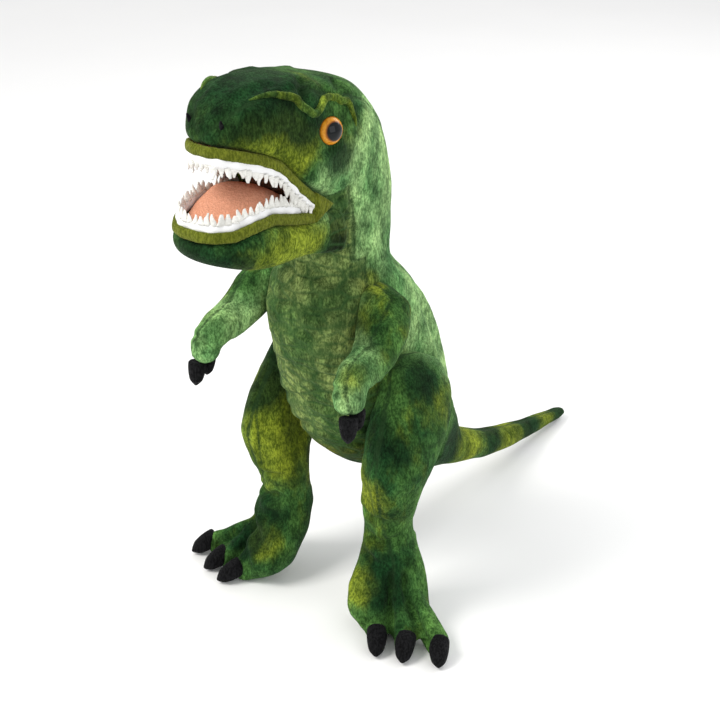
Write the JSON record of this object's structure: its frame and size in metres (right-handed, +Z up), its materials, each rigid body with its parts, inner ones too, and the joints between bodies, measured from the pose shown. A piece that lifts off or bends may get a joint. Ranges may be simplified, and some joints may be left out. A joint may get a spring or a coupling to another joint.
{
  "type": "stuffed dinosaur",
  "caption": "Standing stuffed tyrannosaur with an open felt-toothed mouth, small hanging arms, clawed feet and a tail that trails to the floor.",
  "frame": {"origin": "centre of the toy's outline on the floor plane, at the height of the soles", "axes": "+Z up, the face looks towards -Y and the tail runs towards +Y, +X is the toy's own left"},
  "size_m": [0.3018, 0.614, 0.526],
  "materials": {
    "green_pile": "short mottled pile",
    "sage_pile": "short pile with a faint scale pattern",
    "olive_pile": "smooth short pile",
    "salmon_pile": "smooth short pile",
    "white_felt": "matt felt",
    "claw_cloth": "smooth black cloth with a faint sheen",
    "black_pile": "embroidered black",
    "eye_plastic": "polished, amber ring round a black pupil",
    "washer_plastic": "moulded",
    "fibre_filling": "loose fibre",
    "pellet_bag": "plain woven bag"
  },
  "bodies": {
    "torso": {"torso_left_panel": "green_pile", "torso_right_panel": "green_pile", "belly_panel": "sage_pile", "torso_filling": "fibre_filling"},
    "head": {"head_left_panel": "green_pile", "head_right_panel": "green_pile", "crown_gusset": "green_pile", "palate": "salmon_pile", "throat_panel": "sage_pile", "head_filling": "fibre_filling", "upper_lip": "olive_pile", "upper_teeth": "white_felt", "brow_ridge_left": "green_pile", "brow_ridge_right": "green_pile", "nostrils": "black_pile", "eye_left": "eye_plastic", "eye_right": "eye_plastic", "eye_washer_left": "washer_plastic", "eye_washer_right": "washer_plastic"},
    "jaw": {"jaw_cover": "green_pile", "mouth_lining": "salmon_pile", "tongue": "salmon_pile", "lower_lip": "olive_pile", "lower_teeth": "white_felt", "jaw_filling": "fibre_filling"},
    "arm_left": {"arm_left_outer_panel": "green_pile", "arm_left_inner_panel": "green_pile", "arm_left_filling": "fibre_filling", "hand_claw_left_front": "claw_cloth", "hand_claw_left_rear": "claw_cloth"},
    "arm_right": {"arm_right_outer_panel": "green_pile", "arm_right_inner_panel": "green_pile", "arm_right_filling": "fibre_filling", "hand_claw_right_front": "claw_cloth", "hand_claw_right_rear": "claw_cloth"},
    "leg_left": {"leg_left_outer_panel": "green_pile", "leg_left_inner_panel": "green_pile", "leg_left_filling": "fibre_filling", "pellet_bag_left": "pellet_bag", "toe_left_inner": "green_pile", "toe_left_middle": "green_pile", "toe_left_outer": "green_pile", "foot_claws_left": "claw_cloth"},
    "leg_right": {"leg_right_outer_panel": "green_pile", "leg_right_inner_panel": "green_pile", "leg_right_filling": "fibre_filling", "pellet_bag_right": "pellet_bag", "toe_right_inner": "green_pile", "toe_right_middle": "green_pile", "toe_right_outer": "green_pile", "foot_claws_right": "claw_cloth"},
    "tail": {"tail_left_panel": "green_pile", "tail_right_panel": "green_pile", "tail_filling": "fibre_filling"}
  },
  "joints": [
    {"name": "neck_nod", "type": "hinge", "parent": "torso", "child": "head", "pos_m": [0, -0.128, 0.33], "axis": [1, 0, 0], "range_deg": [-10, 10], "stiffness_Nm_per_rad": 3},
    {"name": "jaw_open", "type": "hinge", "parent": "head", "child": "jaw", "pos_m": [0, -0.181, 0.418], "axis": [1, 0, 0], "range_deg": [-14, 6], "stiffness_Nm_per_rad": 0.6},
    {"name": "shoulder_left", "type": "hinge", "parent": "torso", "child": "arm_left", "pos_m": [0.052, -0.139, 0.317], "axis": [1, 0, 0], "range_deg": [-40, 8], "stiffness_Nm_per_rad": 0.4},
    {"name": "shoulder_right", "type": "hinge", "parent": "torso", "child": "arm_right", "pos_m": [-0.052, -0.139, 0.317], "axis": [1, 0, 0], "range_deg": [-40, 8], "stiffness_Nm_per_rad": 0.4},
    {"name": "hip_left", "type": "hinge", "parent": "torso", "child": "leg_left", "pos_m": [0.052, -0.113, 0.205], "axis": [1, 0, 0], "range_deg": [-8, 8], "stiffness_Nm_per_rad": 8},
    {"name": "hip_right", "type": "hinge", "parent": "torso", "child": "leg_right", "pos_m": [-0.052, -0.113, 0.205], "axis": [1, 0, 0], "range_deg": [-8, 8], "stiffness_Nm_per_rad": 8},
    {"name": "tail_swing", "type": "hinge", "parent": "torso", "child": "tail", "pos_m": [0, -0.01669, 0.11534], "axis": [0, 0, 1], "range_deg": [-12, 12], "stiffness_Nm_per_rad": 1}
  ]
}
